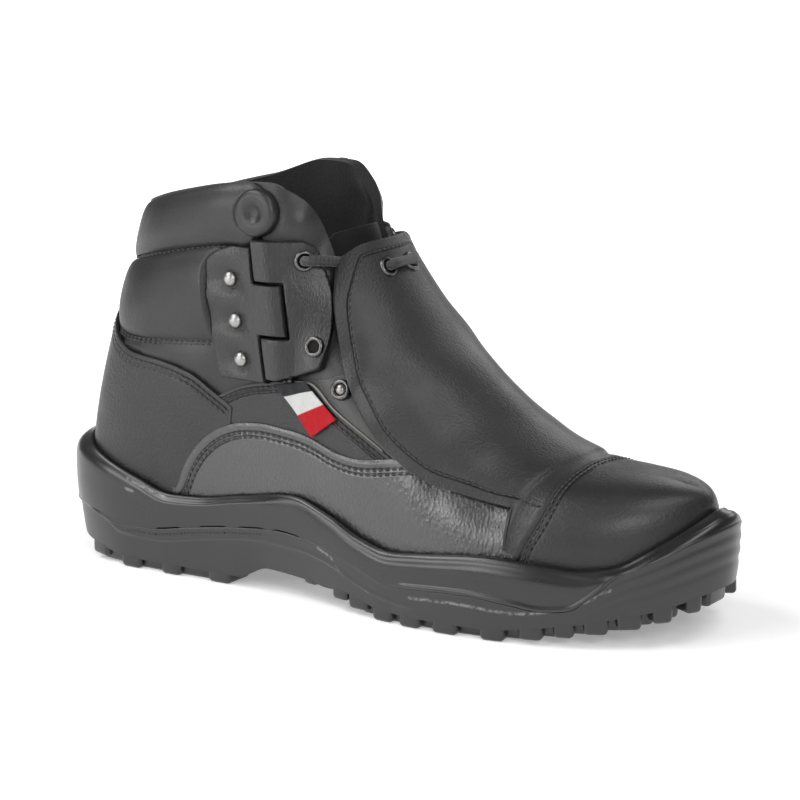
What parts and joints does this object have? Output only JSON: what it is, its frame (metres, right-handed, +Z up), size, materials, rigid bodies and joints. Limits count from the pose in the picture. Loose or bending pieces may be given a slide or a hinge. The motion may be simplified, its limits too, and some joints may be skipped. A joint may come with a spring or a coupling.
{
  "type": "safety boot",
  "caption": "Ankle-high right safety boot with a padded metatarsal guard, a leather side hinge, a padded collar and a lugged rubber sole.",
  "frame": {"origin": "middle of the bounding box at the ground the sole stands on", "axes": "+X towards the toe, +Y towards the inner side of the foot, +Z up"},
  "size_m": [0.308, 0.1076, 0.1732],
  "materials": {
    "leather": "coated grain leather, satin",
    "lining": "padded lining, matte",
    "rubber": "moulded tread layer, satin",
    "foam": "moulded soft layer, satin",
    "steel": "nickel plated",
    "cord": "round woven lace",
    "tab": "woven tab"
  },
  "bodies": {
    "root": {"outsole": "rubber", "midsole": "foam", "insole": "lining", "upper": "leather", "counter": "leather", "vamp_outer": "leather", "vamp_inner": "leather", "toe_cap": "leather", "quarter_outer": "leather", "quarter_inner": "leather", "collar_band": "leather", "collar_roll": "leather", "met_guard": "leather", "guard_eyelet_outer": "steel", "guard_eyelet_inner": "steel", "hinge_rear_leaf": "leather", "hinge_front_leaf": "leather", "hinge_pin": "steel", "rivet_1": "steel", "rivet_2": "steel", "rivet_3": "steel", "facing_inner": "leather", "eyelet_outer_1": "steel", "eyelet_outer_2": "steel", "eyelet_outer_3": "steel", "eyelet_inner_1": "steel", "eyelet_inner_2": "steel", "eyelet_inner_3": "steel", "tongue": "lining", "lace_bar_1": "cord", "lace_bar_2": "cord", "lace_bar_3": "cord", "guard_lace": "cord", "side_label": "tab"}
  },
  "joints": []
}
